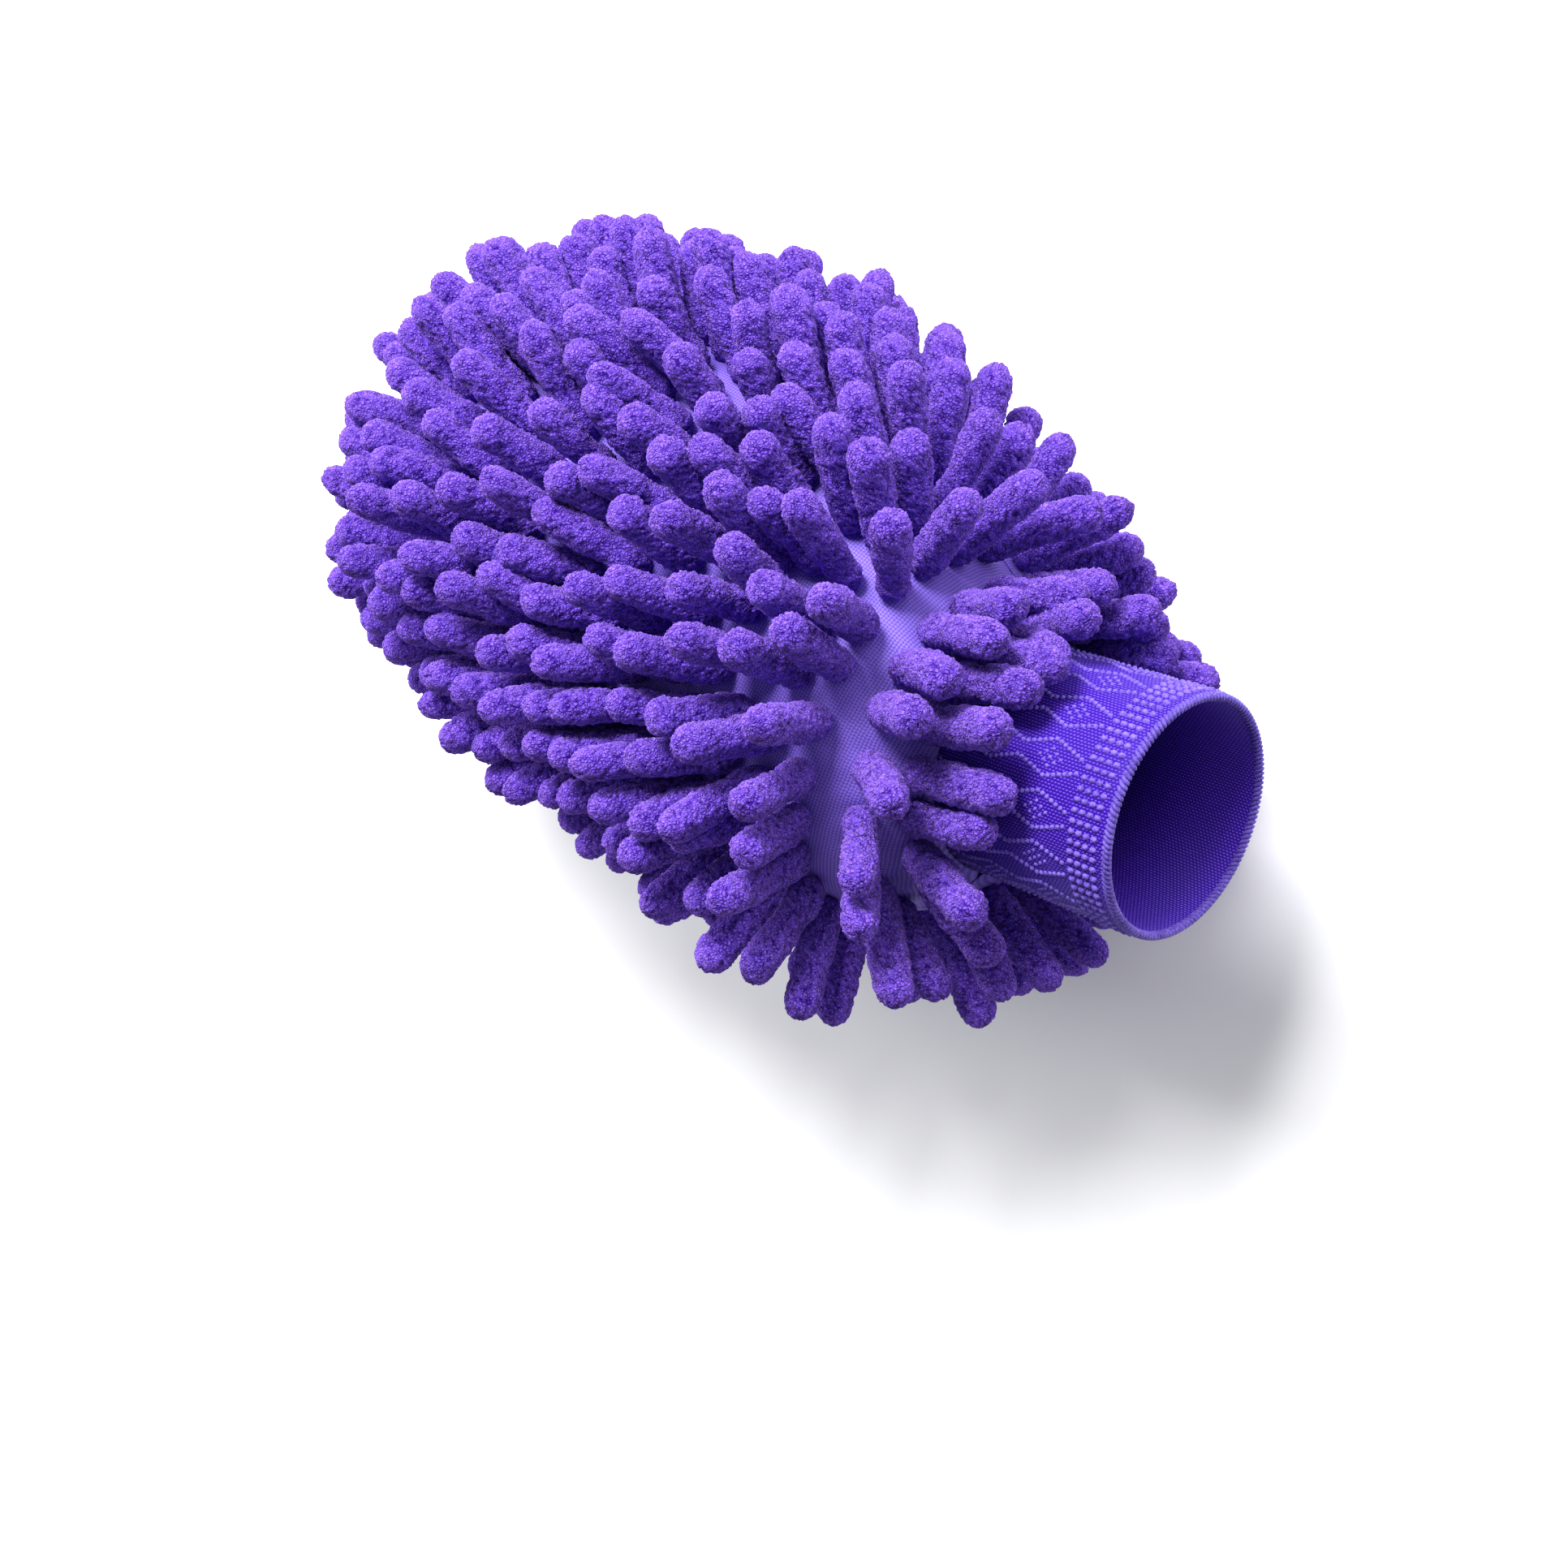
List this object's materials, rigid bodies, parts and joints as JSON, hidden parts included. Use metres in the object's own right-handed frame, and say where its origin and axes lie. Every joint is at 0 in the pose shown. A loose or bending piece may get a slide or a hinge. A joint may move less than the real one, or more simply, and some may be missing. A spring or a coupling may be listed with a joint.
{
  "type": "wash mitt",
  "caption": "Chenille microfibre wash mitt, open for a hand, with long soft tufts on both faces and a ribbed elastic cuff at the wrist.",
  "frame": {"origin": "middle of the mitt's bounding box, on the surface that it lies on", "axes": "+Y towards the fingertips, +Z out of the back of the hand, +X towards the thumb side"},
  "size_m": [0.1632, 0.2695, 0.1427],
  "materials": {
    "base_cloth": "fine ribbed polyester tricot, soft sheen",
    "chenille": "deep microfibre chenille pile, matt with pale tips",
    "cuff_webbing": "woven jacquard elastic webbing with raised beads",
    "cuff_edge": "whipped polyester edge thread",
    "seam_thread": "overlocked polyester thread",
    "loose_thread": "pale sewing thread"
  },
  "bodies": {
    "root": {"back_cloth": "base_cloth", "palm_cloth": "base_cloth", "side_seam_overlock": "seam_thread", "cuff_band": "cuff_webbing", "cuff_edge_stitching": "cuff_edge", "cuff_join_seam": "seam_thread", "cuff_attach_seam": "seam_thread", "loose_thread_ends": "loose_thread", "back_chenille_row_01": "chenille", "back_chenille_row_02": "chenille", "back_chenille_row_03": "chenille", "back_chenille_row_04": "chenille", "back_chenille_row_05": "chenille", "back_chenille_row_06": "chenille", "back_chenille_row_07": "chenille", "back_chenille_row_08": "chenille", "back_chenille_row_09": "chenille", "back_chenille_row_10": "chenille", "back_chenille_row_11": "chenille", "back_chenille_row_12": "chenille", "back_chenille_row_13": "chenille", "back_chenille_row_14": "chenille", "back_chenille_row_15": "chenille", "back_chenille_row_16": "chenille", "back_chenille_row_17": "chenille", "back_chenille_row_18": "chenille", "back_chenille_row_19": "chenille", "palm_chenille_row_01": "chenille", "palm_chenille_row_02": "chenille", "palm_chenille_row_03": "chenille", "palm_chenille_row_04": "chenille", "palm_chenille_row_05": "chenille", "palm_chenille_row_06": "chenille", "palm_chenille_row_07": "chenille", "palm_chenille_row_08": "chenille", "palm_chenille_row_09": "chenille", "palm_chenille_row_10": "chenille", "palm_chenille_row_11": "chenille", "palm_chenille_row_12": "chenille", "palm_chenille_row_13": "chenille", "palm_chenille_row_14": "chenille", "palm_chenille_row_15": "chenille", "palm_chenille_row_16": "chenille", "palm_chenille_row_17": "chenille", "palm_chenille_row_18": "chenille", "palm_chenille_row_19": "chenille"}
  },
  "joints": []
}
